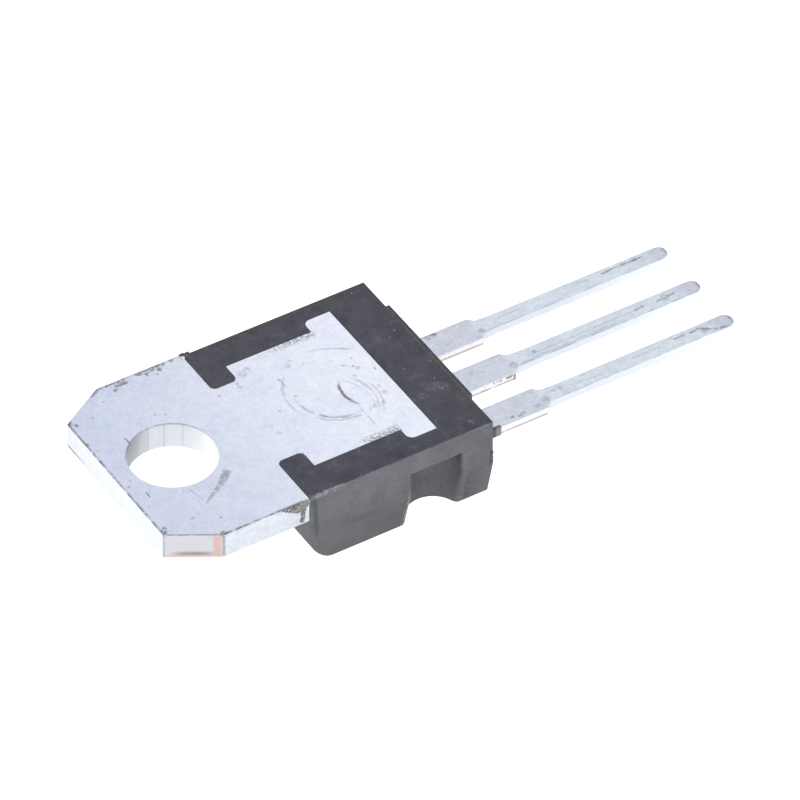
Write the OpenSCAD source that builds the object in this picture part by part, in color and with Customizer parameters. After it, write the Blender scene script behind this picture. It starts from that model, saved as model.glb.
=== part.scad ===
// Thyristor in a moulded tab package with three in-line leads.
//
// The metal back face is up, at z = 0, and the moulded front face is down.
// The origin is the axis of the mounting hole, in the back face.
// +X runs from the hole towards the lead tips, and +Y is the cathode lead's side.
// Inside the modules, lengths along X are counted from the tab's free end.

/* [Package] */
// Width of the tab and of the moulding
package_w = 10.25; // [10:0.05:10.4]
// Length from the tab's free end to the lead end of the moulding
package_l = 15.1; // [15:0.05:15.6]
// Height from the metal back face to the moulded front face
package_h = 4.25; // [4.2:0.05:4.6]

/* [Tab] */
// Thickness of the copper plate
tab_t = 1.27; // [1.23:0.01:1.32]
// Length of the tab that stands clear of the moulding
tab_l = 6.2; // [6:0.05:6.6]
// Diameter of the mounting hole
hole_d = 3.8; // [3.75:0.01:3.85]
// Distance from the tab's free end to the centre of the hole
hole_from_end = 2.75; // [2.65:0.05:2.95]
// Length of each cut corner, along the tab
tab_corner_l = 2.1; // [1.5:0.05:2.2]
// Width of each cut corner, across the tab
tab_corner_w = 1.24; // [0.9:0.02:1.4]

/* [Die pad] */
// Width of the neck between the tab and the die pad
neck_w = 5.12; // [4.8:0.02:5.6]
// Length of the neck
neck_l = 1.2; // [1:0.05:1.4]
// Width of the die pad
pad_w = 7.06; // [6.8:0.02:7.2]
// Length of the die pad, without its ears
pad_l = 4.16; // [4:0.02:4.3]
// Width over the two ears at the lead end of the pad
ear_w = 8.44; // [8.2:0.02:8.6]
// Length of the ears
ear_l = 1.35; // [1.2:0.05:1.5]
// Width of the coined rib that keys each side of the pad into the moulding
rib_w = 0.3; // [0.2:0.02:0.4]

/* [Moulding] */
// Depth of the mould's parting line below the back face
parting_d = 2.4; // [2.2:0.05:2.6]
// How far the sides lean in from the parting line to the front face
side_draft = 0.42; // [0.3:0.02:0.6]
// How far the sides lean in from the parting line to the back face
back_draft = 0.06; // [0.01:0.01:0.1]
// How far the face over the tab leans in, from the tab to the front face
tab_end_draft = 0.88; // [0.7:0.02:1.1]
// Width of the proud block that the leads leave through
block_w = 6.5; // [6.3:0.05:6.8]
// How far that block stands out
block_l = 0.15; // [0.1:0.01:0.2]
// Radius of the half-round notch in each side
notch_r = 1.22; // [1:0.01:1.3]
// Distance from the tab's free end to the centre of the notches
notch_x = 12.4; // [12.2:0.02:12.6]
// Depth of the plate left above each notch
notch_d = 1.05; // [0.9:0.05:1.2]
// Rounding of the notch's lips at the plate
lip_r = 0.2; // [0.1:0.01:0.25]
// Rounding of the notch's lips at the front face
lip_front_r = 0.46; // [0.3:0.01:0.5]

/* [Leads] */
// Distance between neighbouring leads
pitch = 2.54; // [2.54:0.01:2.54]
// Depth of the leads' back face below the back face of the tab
lead_d = 2.58; // [2.4:0.01:2.65]
// Thickness of the leads
lead_t = 0.42; // [0.38:0.01:0.5]
// Width of the slim part of a lead
lead_w = 0.79; // [0.61:0.01:0.88]
// Width of the root of a lead
root_w = 1.38; // [1.14:0.01:1.5]
// Length of the root outside the moulding
root_l = 3.85; // [3.5:0.05:4.1]
// Length of a lead outside the moulding
lead_l = 13.55; // [13:0.05:14]

/* [Chip and wires] */
// Side of the square chip
chip_w = 4; // [3.4:0.1:4.4]
// Thickness of the chip
chip_t = 0.3; // [0.24:0.01:0.35]
// Thickness of the solder under the chip
solder_t = 0.06; // [0.04:0.01:0.1]
// Diameter of the two cathode wires
cathode_wire_d = 0.38; // [0.3:0.01:0.4]
// Diameter of the gate wire
gate_wire_d = 0.18; // [0.12:0.01:0.25]

/* [Hidden] */

slice = 0.01;   // thickness of one loft section
over = 1;       // how far a cutter runs past what it cuts
tin = "gainsboro";

// Stations along X
x_neck_end = tab_l + neck_l;
x_ear = x_neck_end + pad_l;
x_pad_end = x_ear + ear_l;
x_pad_mid = (x_neck_end + x_pad_end) / 2;
x_block = package_l + block_l;
x_root_end = x_block + root_l;
x_tip = x_block + lead_l;

// Distance from the X axis to the centre of each notch
notch_skin = 0.11;        // resin left between the die pad and a notch
notch_y = pad_w / 2 + notch_skin + notch_r;

// Levels along Z
z_plate_front = -tab_t;
z_parting = -parting_d;
z_lead_back = -lead_d;
z_lead_front = z_lead_back - lead_t;
z_front = -package_h;
z_solder_front = z_plate_front - solder_t;
z_chip_front = z_solder_front - chip_t;

// Copper plate details
neck_corner_r = 0.25;
ear_corner_r = 0.33;
rib_d = 0.6;

// Bend of the anode lead from the plate down to the level of the other leads
bend_angle = 60;
bend_r = 0.5;
x_bend = x_pad_end + 0.05;

// Shoulder and tip of a lead
shoulder_l = 0.25;
shoulder_w = 0.1;
taper_l = 0.9;
tip_l = 0.4;
tip_flat = 15;    // angle at which the tip's curve stops, at the blunt end

// Bond pad at the inner end of the cathode and gate leads
x_bond_pad = 12.6;
bond_pad_l = 1.55;
bond_pad_w = 1.9;
lock_notch_r = 0.22;
x_lock_notch = x_bond_pad + bond_pad_l + 0.4;

// Chip front: a mesa inside the glass moat, with the gate in one corner of the cathode metal
moat_w = 0.2;
mesa_t = 0.04;
gate_w = 0.9;
gate_gap = 0.12;

// Wire loops
wire_rise = 50;       // angle at which a wire leaves the chip
wire_fall = 35;       // angle at which it comes down to its lead
wire_foot_l = 0.5;    // length of each bonded foot
foot_sink = 0.3;      // height of a foot's centre line above its pad, over the diameter
z_loop_top = -3.45;   // centre line of the cathode wires at the top of the loop
z_gate_loop_top = -3.3;
cathode_heading = 18; // direction in which the wires run, about Z
gate_heading = -12;
inner_landing = [13.7, 1.7];
outer_landing = [13.7, 2.6];
gate_landing = [13.6, -2.1];

// Moulding details
plate_corner_r = 0.25;    // length of the rounded corners over the tab, down to the plate's front
parting_corner_r = 0.36;  // at the parting line
front_corner_r = 0.48;    // at the front face
corner_stretch = 1.45;    // width of those corners over their length
block_corner_r = 0.1;
end_flare = 0.04;         // how far the lead end leans out towards the front face
front_edge_r = 0.1;
back_edge_w = 0.05;       // bevel round the back face
ejector_mark_d = 1.8;
ejector_mark_t = 0.08;
x_ejector_mark = 11.2;

// Webs of resin along the roots of the outer leads, where the mould's dam bar was cut
web_l = 1.4;
web_t = 0.45;
web_d = 2.4;
gate_web_w = 0.16;
cathode_web_w = 0.1;

// Points of an arc about centre c, from angle a0 to angle a1
function arc(c, r, a0, a1, steps = 6) =
    [for (i = [0:steps]) c + r * [cos(a0 + (a1 - a0) * i / steps), sin(a0 + (a1 - a0) * i / steps)]];

function reversed(list) = [for (i = [len(list) - 1:-1:0]) list[i]];
function all_but_first(list) = [for (i = [1:len(list) - 1]) list[i]];

// An outline that is the same on both sides of the X axis, from the points of its +Y half
function both_sides(half) = concat(half, [for (p = reversed(half)) [p[0], -p[1]]]);

// Moves what was built from the tab's free end so that the hole is at the origin
module from_tab_end() {
    translate([-hole_from_end, 0, 0]) children();
}

// A plate of the given outline between two levels
module plate(outline, top, bottom) {
    translate([0, 0, bottom]) linear_extrude(top - bottom) polygon(outline);
}

// ---- Copper ----

// Tab, neck and die pad as one stamped outline
function plate_outline() = both_sides(concat(
    [[0, package_w / 2 - tab_corner_w]],
    [[tab_corner_l, package_w / 2]],
    [[tab_l, package_w / 2]],
    arc([tab_l + neck_corner_r, neck_w / 2 + neck_corner_r], neck_corner_r, 180, 270),
    arc([x_neck_end - neck_corner_r, neck_w / 2 + neck_corner_r], neck_corner_r, 270, 360),
    [[x_neck_end, pad_w / 2]],
    [[x_pad_end, pad_w / 2]]
));

// Ears at the lead end of the pad, coined thinner where the mould's pins clamp them
function ear_outline() = both_sides(concat(
    arc([x_ear + ear_corner_r, ear_w / 2 - ear_corner_r], ear_corner_r, 180, 90),
    [[x_pad_end, ear_w / 2]]
));

// Keying rib along both sides of the pad, under the moulding's back skin
function rib_outline() = both_sides([
    [x_neck_end, pad_w / 2 + rib_w],
    [x_ear, pad_w / 2 + rib_w]
]);

// Plan of a lead along its own centre line, from x_start to the tip
function lead_outline(x_start) = both_sides(concat([
    [x_start, root_w / 2],
    [x_root_end, root_w / 2],
    [x_root_end + shoulder_l, lead_w / 2 + shoulder_w / 2],
    [x_root_end + taper_l, lead_w / 2]
], [for (a = [90:-15:tip_flat]) [x_tip + tip_l * (cos(a) - cos(tip_flat)), lead_w / 2 * sin(a)]]));

// One side of the cranked strip: side is +1 for its back and -1 for its front
function crank_side(side) =
    let (
        r_first = bend_r + side * lead_t / 2,
        r_second = bend_r - side * lead_t / 2,
        z_start = z_plate_front + lead_t / 2,
        z_end = z_lead_front + lead_t / 2,
        straight_drop = z_start - z_end - 2 * bend_r * (1 - cos(bend_angle)),
        x_end = x_bend + 2 * bend_r * sin(bend_angle) + straight_drop / tan(bend_angle)
    )
    concat(
        [[x_pad_end - over, z_start + side * lead_t / 2]],
        arc([x_bend, z_start - bend_r], r_first, 90, 90 - bend_angle),
        arc([x_end, z_end + bend_r], r_second, 270 - bend_angle, 270),
        [[x_tip, z_end + side * lead_t / 2]]
    );

// The anode lead leaves the plate's front face, bends down and runs out in the lead plane
module anode_lead() {
    intersection() {
        plate(lead_outline(x_pad_end - over), 0, z_front);
        rotate([90, 0, 0]) linear_extrude(2 * root_w, center = true)
            polygon(concat(crank_side(1), reversed(crank_side(-1))));
    }
}

module header_with_anode_lead() {
    color(tin) from_tab_end() difference() {
        union() {
            plate(plate_outline(), 0, z_plate_front);
            plate(ear_outline(), 0, -notch_d);
            plate(rib_outline(), -rib_d, z_plate_front);
            anode_lead();
        }
        translate([hole_from_end, 0, z_plate_front - over])
            cylinder(d = hole_d, h = tab_t + 2 * over, $fn = 96);
    }
}

// Outer lead with its bond pad, on the +Y side for side = 1 and the -Y side for side = -1
module outer_lead(side) {
    pad_offset = side * (root_w - bond_pad_w) / 2;
    from_tab_end() translate([0, side * pitch, 0]) difference() {
        union() {
            plate(lead_outline(x_bond_pad + bond_pad_l / 2), z_lead_back, z_lead_front);
            translate([x_bond_pad, pad_offset - bond_pad_w / 2, z_lead_front])
                cube([bond_pad_l, bond_pad_w, lead_t]);
        }
        for (edge = [-1, 1])
            translate([x_lock_notch, edge * root_w / 2, z_lead_front - over])
                cylinder(r = lock_notch_r, h = lead_t + 2 * over, $fn = 32);
    }
}

module cathode_lead() {
    color(tin) outer_lead(1);
}

module gate_lead() {
    color(tin) outer_lead(-1);
}

// ---- Chip ----

// A square plate centred on the die pad
module pad_square(side_l, top, bottom) {
    translate([x_pad_mid - side_l / 2, -side_l / 2, bottom]) cube([side_l, side_l, top - bottom]);
}

module chip_solder() {
    fillet_w = 0.15;
    color("darkgray") from_tab_end() pad_square(chip_w + 2 * fillet_w, z_plate_front, z_solder_front);
}

module thyristor_chip() {
    mesa_w = chip_w - 2 * moat_w;
    gate_cut_w = gate_w + gate_gap;
    x_mesa_end = x_pad_mid + mesa_w / 2;
    color("slategray") from_tab_end() {
        pad_square(chip_w, z_solder_front, z_chip_front + mesa_t);
        difference() {
            pad_square(mesa_w, z_chip_front + mesa_t, z_chip_front);
            translate([x_mesa_end - gate_cut_w, -mesa_w / 2 - over, z_chip_front - over])
                cube([gate_cut_w + over, gate_cut_w + over, mesa_t + over]);
        }
        translate([x_mesa_end - gate_w, -mesa_w / 2, z_chip_front])
            cube([gate_w, gate_w, mesa_t]);
    }
}

// ---- Bond wires ----

// A round wire in the X-Z plane that leaves a foot at the origin, rises by loop_h,
// and comes down to a second foot at height end_h. Its bends are all of radius r.
function wire_up(loop_h, r) = (loop_h - 2 * r * (1 - cos(wire_rise))) / sin(wire_rise);
function wire_down(loop_h, end_h, r) =
    (loop_h - end_h - 2 * r * (1 - cos(wire_fall))) / sin(wire_fall);
function wire_span(loop_h, end_h, r) =
    2 * wire_foot_l
    + 2 * r * (sin(wire_rise) + sin(wire_fall))
    + wire_up(loop_h, r) * cos(wire_rise)
    + wire_down(loop_h, end_h, r) * cos(wire_fall);

// A straight stretch of wire along +X, and then whatever follows it
module wire_run(length, d) {
    rotate([0, 90, 0]) cylinder(d = d, h = length, $fn = 24);
    translate([length, 0, 0]) children();
}

// A bend of the wire, up for a positive angle, and then whatever follows it
module wire_bend(angle, r, d) {
    way = sign(angle);
    translate([0, 0, way * r]) {
        rotate([90 * way, 0, 0]) rotate([0, 0, -90]) rotate_extrude(angle = abs(angle), $fn = 96)
            translate([r, 0]) circle(d = d, $fn = 24);
        rotate([0, -angle, 0]) translate([0, 0, -way * r]) children();
    }
}

module wire_loop(loop_h, end_h, r, d) {
    wire_run(wire_foot_l, d)
        wire_bend(wire_rise, r, d)
            wire_run(wire_up(loop_h, r), d)
                wire_bend(-wire_rise - wire_fall, r, d)
                    wire_run(wire_down(loop_h, end_h, r), d)
                        wire_bend(wire_fall, r, d)
                            wire_run(wire_foot_l, d);
}

// A wire that lands with its foot's end at land, a point on a lead's bond pad,
// coming from the chip in the direction heading. Its feet are pressed flat.
module bond_wire(land, heading, z_top, d) {
    r = 0.45;
    z_foot = z_chip_front - foot_sink * d;
    loop_h = z_foot - z_top;
    end_h = z_chip_front - z_lead_front;
    difference() {
        from_tab_end() translate([land[0], land[1], z_foot]) rotate([0, 0, heading])
            translate([-wire_span(loop_h, end_h, r), 0, 0]) mirror([0, 0, 1])
                wire_loop(loop_h, end_h, r, d);
        thyristor_chip();
        cathode_lead();
        gate_lead();
    }
}

module cathode_wire_inner() {
    color("silver") bond_wire(inner_landing, cathode_heading, z_loop_top, cathode_wire_d);
}

module cathode_wire_outer() {
    color("silver") bond_wire(outer_landing, cathode_heading, z_loop_top, cathode_wire_d);
}

module gate_wire() {
    color("silver") bond_wire(gate_landing, gate_heading, z_gate_loop_top, gate_wire_d);
}

// ---- Moulding ----

// One horizontal section of the moulding: its tab end starts at x_from with rounded
// corners that are r long, and its lead end is square at x_to
module section(z, x_from, x_to, width, r) {
    corner = [for (p = arc([0, 0], r, 180, 90, 8)) [p[0], corner_stretch * p[1]]];
    centre = [x_from + r, width / 2 - corner_stretch * r];
    translate([0, 0, z - slice]) linear_extrude(slice)
        polygon(both_sides(concat([for (p = corner) centre + p], [[x_to, width / 2]])));
}

// Distance that the tab-end face has leaned in at level z
function tab_end_at(z) = tab_l + tab_end_draft * (z_plate_front - z) / (z_plate_front - z_front);

// Half the moulding's width at level z: widest at the parting line
function half_width_at(z) = package_w / 2 - (z > z_parting
    ? back_draft * (z - z_parting) / parting_d
    : side_draft * (z_parting - z) / (z_parting - z_front));

// The drafted block of resin, before anything is cut out of it
module mould_form() {
    z_edge = z_front + front_edge_r;
    hull() {
        section(0, tab_l, package_l - back_edge_w, 2 * (half_width_at(0) - back_edge_w), plate_corner_r);
        section(-back_edge_w, tab_l, package_l, 2 * half_width_at(0), plate_corner_r);
        section(z_plate_front, tab_l, package_l, 2 * half_width_at(z_plate_front), plate_corner_r);
        section(z_parting, tab_end_at(z_parting), package_l + slice, package_w, parting_corner_r);
        section(z_edge, tab_end_at(z_edge), package_l + end_flare, 2 * half_width_at(z_edge),
            front_corner_r);
        section(z_front + slice, tab_end_at(z_front) + front_edge_r / 2,
            package_l + end_flare - front_edge_r / 2, 2 * half_width_at(z_front) - front_edge_r,
            front_corner_r);
    }
    hull() {
        section(0, package_l - over, x_block - slice, block_w - slice, block_corner_r);
        section(z_parting, package_l - over, x_block, block_w, block_corner_r);
        section(z_front + front_edge_r, package_l - over, x_block - block_l / 2, block_w - block_l,
            block_corner_r);
    }
}

// Thin web of resin left along the root of an outer lead
module resin_web(side, width) {
    inner = side * (pitch + root_w / 2);
    outer = inner + side * width;
    translate([package_l - over, min(inner, outer), -web_d - web_t])
        cube([over + block_l + web_l, width, web_t]);
}

// Half outline of a notch at one level, about the notch's centre: the half-round, and a lip of
// radius r that is tangent to it and to the side face, which is at y = side_y
function notch_half(side_y, r) =
    let (
        lip = [sqrt(pow(notch_r + r, 2) - pow(side_y - r, 2)), side_y - r],
        meet = atan2(lip[1], lip[0])
    )
    concat(
        arc([0, 0], notch_r, -90, meet, 16),
        all_but_first(arc(lip, r, 180 + meet, 90)),
        [[lip[0], over]]
    );

function notch_outline(side_y, r) =
    let (half = notch_half(side_y, r))
    concat(half, [for (p = reversed(all_but_first(half))) [-p[0], p[1]]]);

// A solid through sections that all have the same number of points, from the top down.
// Each section is [z, outline], and the outlines run anticlockwise seen from above.
module loft(sections) {
    n = len(sections[0][1]);
    last = (len(sections) - 1) * n;
    sides = [for (s = [0:len(sections) - 2], i = [0:n - 1])
        let (a = s * n + i, b = s * n + (i + 1) % n)
        each [[a, b, b + n], [a, b + n, a + n]]];
    polyhedron(
        points = [for (s = sections, p = s[1]) [p[0], p[1], s[0]]],
        faces = concat(sides, [[for (i = [n - 1:-1:0]) i]], [[for (i = [0:n - 1]) last + i]]),
        convexity = 4
    );
}

// Half-round notches for the mould's clamping pins, open to the front face. They are straight
// down to the parting line, and below it their lips are rounded more and more.
module side_notches() {
    straight = notch_outline(package_w / 2 - notch_y, lip_r);
    flared = notch_outline(package_w / 2 - side_draft - notch_y, lip_front_r);
    inner_scale = 0.8;    // the flared part starts inside the straight part
    for (turn = [0, 180])
        translate([notch_x, 0, 0]) rotate(turn) translate([0, notch_y, 0]) {
            plate(straight, -notch_d, z_parting);
            loft([
                [z_parting + lip_r, inner_scale * straight],
                [z_parting, straight],
                [z_front, flared],
                [z_front - over, flared]
            ]);
        }
}

module ejector_mark() {
    translate([x_ejector_mark, 0, z_front - over])
        cylinder(d = ejector_mark_d, h = over + ejector_mark_t, $fn = 64);
}

module moulded_body() {
    color("dimgray") difference() {
        from_tab_end() difference() {
            union() {
                mould_form();
                resin_web(1, cathode_web_w);
                resin_web(-1, gate_web_w);
            }
            side_notches();
            ejector_mark();
        }
        header_with_anode_lead();
        cathode_lead();
        gate_lead();
        chip_solder();
        thyristor_chip();
        cathode_wire_inner();
        cathode_wire_outer();
        gate_wire();
    }
}

header_with_anode_lead();
cathode_lead();
gate_lead();
chip_solder();
thyristor_chip();
cathode_wire_inner();
cathode_wire_outer();
gate_wire();
moulded_body();
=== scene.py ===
"""Finishes, mould flash and a small studio for a moulded thyristor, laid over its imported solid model."""

import math

import bmesh
import bpy
from mathutils import Matrix, Vector, noise


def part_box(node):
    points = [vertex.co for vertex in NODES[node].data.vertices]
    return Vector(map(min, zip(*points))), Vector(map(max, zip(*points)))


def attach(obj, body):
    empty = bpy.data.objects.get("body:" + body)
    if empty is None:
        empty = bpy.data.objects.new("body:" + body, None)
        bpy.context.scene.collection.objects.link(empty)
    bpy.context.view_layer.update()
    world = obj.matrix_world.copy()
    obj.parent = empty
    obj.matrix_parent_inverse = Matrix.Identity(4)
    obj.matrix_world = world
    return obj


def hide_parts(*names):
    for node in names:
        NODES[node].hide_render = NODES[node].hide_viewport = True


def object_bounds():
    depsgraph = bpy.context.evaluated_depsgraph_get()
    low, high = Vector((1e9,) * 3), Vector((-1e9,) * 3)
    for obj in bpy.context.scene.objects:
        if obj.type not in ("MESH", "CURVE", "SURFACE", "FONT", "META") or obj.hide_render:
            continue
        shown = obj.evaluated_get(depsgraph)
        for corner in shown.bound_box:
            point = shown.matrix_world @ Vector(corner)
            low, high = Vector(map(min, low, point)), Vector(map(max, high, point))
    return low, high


bl_info = {
    "name": "Moulded thyristor",
    "version": (1, 0, 0),
    "blender": (4, 5, 0),
    "location": "3D View > Sidebar > Thyristor",
    "description": "Tin plate, moulding resin, flash and studio for a moulded thyristor",
    "category": "Add Mesh",
}

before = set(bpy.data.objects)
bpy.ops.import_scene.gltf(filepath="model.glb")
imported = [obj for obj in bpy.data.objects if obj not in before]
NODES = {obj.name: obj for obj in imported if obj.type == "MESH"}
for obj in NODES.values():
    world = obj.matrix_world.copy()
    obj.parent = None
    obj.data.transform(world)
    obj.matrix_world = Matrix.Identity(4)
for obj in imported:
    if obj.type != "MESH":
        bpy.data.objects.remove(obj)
CAD_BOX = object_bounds()
MM = 0.001
MM_PER_M = 1000.0
BODY = "root"
SAME_POINT = 0.0005 * MM  # points nearer than this are one
FLAT_ANGLE = math.radians(0.6)  # faces that meet at less than this are one flat face
SMOOTH_ANGLE = math.radians(28)  # edges flatter than this are shaded smooth


def corners(node):
    """The node's lowest and highest corner, in millimetres."""
    return [Vector(corner) * MM_PER_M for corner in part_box(node)]


# Levels and edges, in millimetres from the hole's axis and the back face
PLATE_LOW, PLATE_HIGH = corners("header_with_anode_lead")
RESIN_LOW, RESIN_HIGH = corners("moulded_body")
LEAD_LOW, LEAD_HIGH = corners("gate_lead")
FREE_END, HALF_WIDTH, TIPS = PLATE_LOW.x, PLATE_HIGH.y, PLATE_HIGH.x
TAB_END = RESIN_LOW.x  # where the bare tab ends and the moulding starts
LEAD_END = 12.35  # end of the moulding, without the block that the leads leave through
PITCH = 2.54  # from lead to lead
SHOULDER, SLIM_HALF = 16.35, 0.395  # where a lead narrows, and its half width from there on
HOLE_R = 1.9
CORNER_L, CORNER_W = 2.1, 1.24  # the plate's cut corners, along it and across it
NOTCH_X, NOTCH_Y, NOTCH_R = 9.65, 4.86, 1.22
RAGGED = 0.07  # how far the outline of a mark wanders

# Marks on the back face, in millimetres: places of specks, smudges with their radii, ends of scratches
TAB_SPECKS = (
    (-0.8, 4.25), (-1.65, 3.65), (-2.5, 1.8), (-2.25, -0.4), (-2.5, -0.7), (1.6, 4.7), (2.0, 4.55),
    (-0.2, -4.2), (3.5, 2.1), (5.15, 0.0), (4.65, -2.65), (4.5, 2.35), (9.4, 1.25), (9.2, 0.8),
    (9.9, 0.2), (8.85, 1.0),
)
FAINT_SPOTS = (
    (4.45, -1.1, 0.14), (4.4, -0.6, 0.1), (4.5, 2.1, 0.16), (6.15, 1.65, 0.13), (6.1, 1.3, 0.14),
    (6.85, 2.2, 0.18), (7.1, 2.4, 0.12), (7.5, 2.0, 0.1), (6.2, 0.45, 0.12), (9.3, 0.6, 0.15),
    (8.95, 0.25, 0.12), (9.45, -1.2, 0.16), (9.1, -1.75, 0.16), (8.7, -1.8, 0.13), (-1.2, -3.65, 0.12),
    (-0.85, -3.5, 0.1), (0.65, 2.5, 0.1), (1.0, 2.3, 0.1), (5.0, 2.75, 0.3), (5.3, 2.9, 0.22),
)
SMUDGE_TRAIL = (
    (1.36, -2.0, 0.26), (1.18, -2.2, 0.22), (0.85, -2.45, 0.14), (0.45, -2.72, 0.12), (0.05, -2.95, 0.09),
    (-0.25, -3.15, 0.06),
)
TAB_SCRATCHES = (((-1.15, 1.9), (-1.15, 1.5)), ((-2.05, -1.35), (-2.06, -1.65)))
EDGE_SMEARS = (
    ((1.25, 5.0), (1.9, 4.96)), ((1.9, 4.96), (2.5, 5.02)), ((0.2, 4.84), (0.6, 4.84)),
    ((0.45, 5.03), (0.6, 5.06)), ((-0.6, 5.09), (0.5, 5.1)), ((-1.0, 4.85), (-0.75, 5.0)),
)
EDGE_SMUDGES = (
    (0.0, 4.6, 0.14), (1.6, 4.85, 0.15), (2.2, 4.8, 0.16), (2.9, 5.0, 0.15), (-2.68, 3.85, 0.26),
    (-2.45, 3.6, 0.14), (-0.9, 4.95, 0.14), (-2.68, -3.75, 0.24), (-0.6, -5.08, 0.22), (-2.7, 2.35, 0.14),
    (-2.72, 1.2, 0.12), (-2.5, -3.55, 0.14),
)
# Faint rings on the pad: centre, radius, line width, the arc's middle and reach in degrees, strength
PAD_RINGS = (
    ((7.9, 0.1), 1.86, 0.09, 222, 60, 0.45),
    ((7.85, 0.05), 1.98, 0.07, 242, 34, 0.4),
    ((7.9, -0.1), 1.72, 0.05, 230, 26, 0.3),
    ((7.1, -0.9), 1.97, 0.08, 2, 42, 0.42),
    ((7.3, -0.9), 1.98, 0.07, 355, 26, 0.35),
    ((7.0, -1.0), 1.85, 0.05, 10, 44, 0.3),
    ((7.9, 0.3), 2.2, 0.08, 60, 44, 0.2),
    ((7.9, 0.1), 2.2, 0.09, 165, 42, 0.32),
)
PAD_CRESCENT = ((9.35, -0.5), 1.42, 0.1, 180, 40)
PAD_SCRATCHES = (
    ((8.1, -1.25), (8.1, -2.85)), ((8.5, 2.4), (9.85, 1.7)), ((8.75, 1.1), (9.4, 0.6)),
    ((9.9, 0.35), (9.87, 0.1)), ((9.43, -2.73), (9.48, -2.95)), ((8.35, -1.85), (8.95, -1.6)),
    ((9.45, -0.7), (9.6, -1.35)), ((9.2, -1.6), (8.88, -2.15)), ((7.15, -1.7), (7.9, -1.95)),
    ((-0.58, -1.85), (-0.42, -2.25)), ((-0.42, -2.25), (-0.3, -2.8)), ((6.1, 1.75), (6.15, 1.05)),
)

# Rubbed places and pale specks on the resin's back
RESIN_RUBS = (
    (11.45, -2.0, 0.4), (11.7, -2.2, 0.35), (10.7, -2.3, 0.3), (10.2, -2.3, 0.2), (11.55, -4.65, 0.25),
)
RESIN_SPECKS = ((11.4, 1.5), (11.7, -1.6), (10.9, -0.45), (11.85, 1.8), (11.55, 4.7), (12.1, -0.6))

# Wear on the three leads: scratches, fine lines and soft smudges
CATHODE_SCRATCHES = (
    ((14.05, 3.2), (14.75, 3.1)), ((22.9, 2.66), (23.4, 2.72)), ((23.4, 2.72), (24.05, 2.66)),
    ((24.2, 2.7), (24.9, 2.7)),
)
CATHODE_LINES = (((21.6, 2.7), (22.3, 2.65)), ((17.6, 2.6), (18.9, 2.6)))
CATHODE_SMUDGES = (
    (14.3, 3.05, 0.2), (14.65, 3.1, 0.2), (16.5, 2.25, 0.24), (24.5, 2.75, 0.24), (24.0, 2.75, 0.2),
)
ANODE_SCRATCHES = (((22.8, -0.02), (23.2, 0.02)), ((23.9, -0.04), (24.3, 0.0)), ((24.3, 0.0), (24.8, 0.04)))
ANODE_LINES = (((17.3, -0.08), (20.0, -0.05)), ((20.0, -0.05), (22.9, -0.02)), ((17.0, -0.29), (22.0, -0.27)))
ANODE_SMUDGES = (
    (16.5, -0.25, 0.26), (14.7, 0.2, 0.14), (17.7, 0.0, 0.15), (26.0, 0.2, 0.12), (24.3, 0.0, 0.3),
)
GATE_SCRATCHES = (
    ((23.2, -2.42), (23.7, -2.39)), ((24.0, -2.44), (24.4, -2.37)), ((24.4, -2.37), (24.75, -2.6)),
    ((24.75, -2.6), (25.05, -2.78)), ((25.05, -2.78), (25.5, -2.86)), ((15.0, -3.02), (15.2, -3.0)),
    ((14.7, -2.97), (14.76, -2.97)),
)
GATE_LINES = (((18.2, -2.6), (19.6, -2.62)), ((21.0, -2.5), (22.4, -2.5)))
GATE_SMUDGES = (
    (14.75, -2.95, 0.12), (15.1, -3.05, 0.14), (15.3, -2.95, 0.1), (16.0, -2.9, 0.2), (16.5, -2.75, 0.28),
    (17.05, -2.45, 0.12), (17.4, -2.45, 0.13), (18.7, -2.3, 0.1), (24.6, -2.6, 0.25), (26.0, -2.4, 0.14),
)


# ---- Selecting and shaping ----


def select_only(item):
    """Leaves just this object selected and active."""
    bpy.ops.object.select_all(action="DESELECT")
    item.hide_set(False)
    item.select_set(True)
    bpy.context.view_layer.objects.active = item


def select_where(item, kind, wanted):
    """In edit mode, selects what wanted() says yes to: points for the kind VERT, edges for EDGE."""
    bpy.ops.mesh.select_mode(type=kind)
    bpy.ops.mesh.select_all(action="DESELECT")
    mesh = bmesh.from_edit_mesh(item.data)
    for part in mesh.verts if kind == "VERT" else mesh.edges:
        if wanted(part):
            part.select_set(True)
    if kind == "VERT":
        mesh.select_flush(True)
    bmesh.update_edit_mesh(item.data)


def is_sharp(edge, least=30.0):
    """True if the edge's two faces meet at more than so many degrees."""
    return edge.is_manifold and edge.calc_face_angle(0.0) > math.radians(least)


def rounded_copy(node, name, width, wanted=is_sharp):
    """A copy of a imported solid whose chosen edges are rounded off. It stands in for the solid."""
    source = NODES[node]
    piece = source.copy()
    piece.data = source.data.copy()
    for key in list(piece.keys()):
        del piece[key]
    piece.name = piece.data.name = name
    bpy.context.scene.collection.objects.link(piece)
    piece.parent = None
    select_only(piece)
    bpy.ops.object.mode_set(mode="EDIT")
    bpy.ops.mesh.select_all(action="SELECT")
    bpy.ops.mesh.remove_doubles(threshold=SAME_POINT)
    bpy.ops.mesh.dissolve_limited(angle_limit=FLAT_ANGLE)
    select_where(piece, "EDGE", wanted)
    bpy.ops.mesh.bevel(offset=width, offset_type="OFFSET", segments=2, clamp_overlap=True)
    # Slivers left by the bevel go, and the gaps that they leave are closed
    bpy.ops.mesh.select_all(action="SELECT")
    bpy.ops.mesh.dissolve_degenerate(threshold=SAME_POINT)
    bpy.ops.mesh.fill_holes(sides=6)
    bpy.ops.object.mode_set(mode="OBJECT")
    bpy.ops.object.shade_smooth_by_angle(angle=SMOOTH_ANGLE)
    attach(piece, BODY)
    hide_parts(node)
    return piece


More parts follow.
